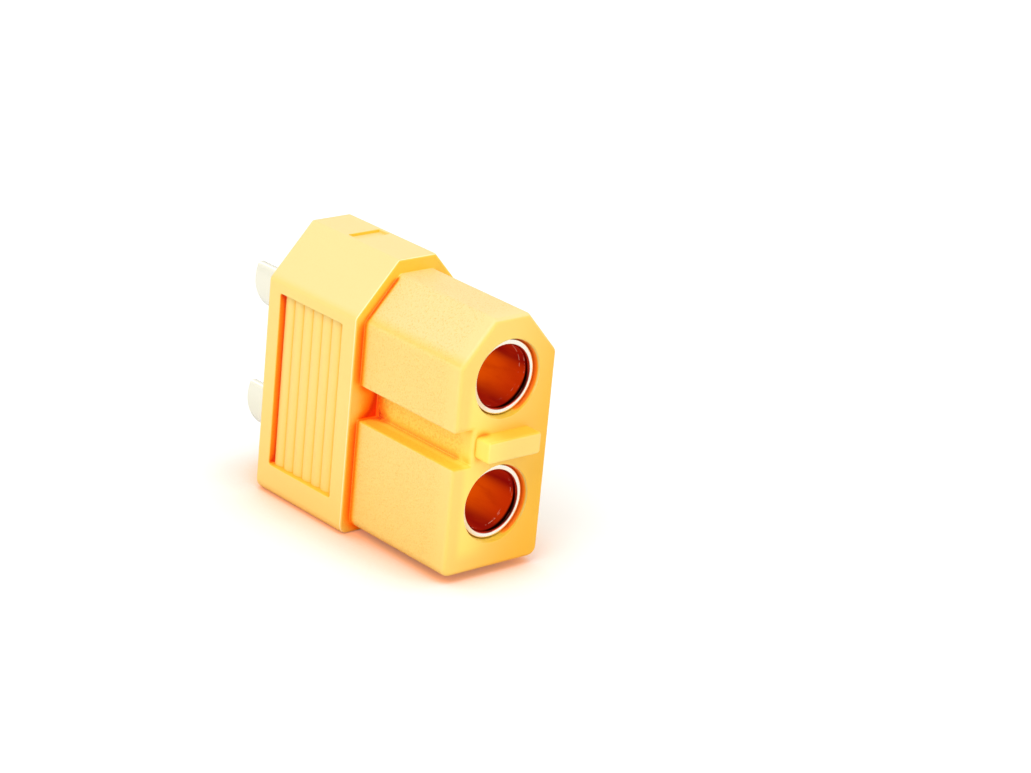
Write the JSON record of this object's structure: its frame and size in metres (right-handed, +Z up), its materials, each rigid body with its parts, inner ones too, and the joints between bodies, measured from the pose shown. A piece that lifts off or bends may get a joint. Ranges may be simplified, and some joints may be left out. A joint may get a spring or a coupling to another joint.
{
  "type": "two-pole battery power connector, socket half",
  "caption": "Keyed battery power connector half: amber nylon housing with ribbed grip, gold-plated sockets in its nose and solder cups behind.",
  "frame": {"origin": "centre of the bounding box, at its bottom, on the surface that the connector stands on", "axes": "+Z up the connector's height from the positive to the negative contact; -Y along the contacts out of the mating nose, +Y out of the solder cups; X across the thickness, with the keying groove on the -X side"},
  "size_m": [0.008, 0.0206, 0.0157],
  "materials": {
    "amber_nylon": "satin moulded nylon, slightly translucent, fine grain on the nose",
    "gold_plated_brass": "polished gold plating over turned brass"
  },
  "bodies": {
    "root": {"housing": "amber_nylon", "positive_contact": "gold_plated_brass", "negative_contact": "gold_plated_brass"}
  },
  "joints": []
}
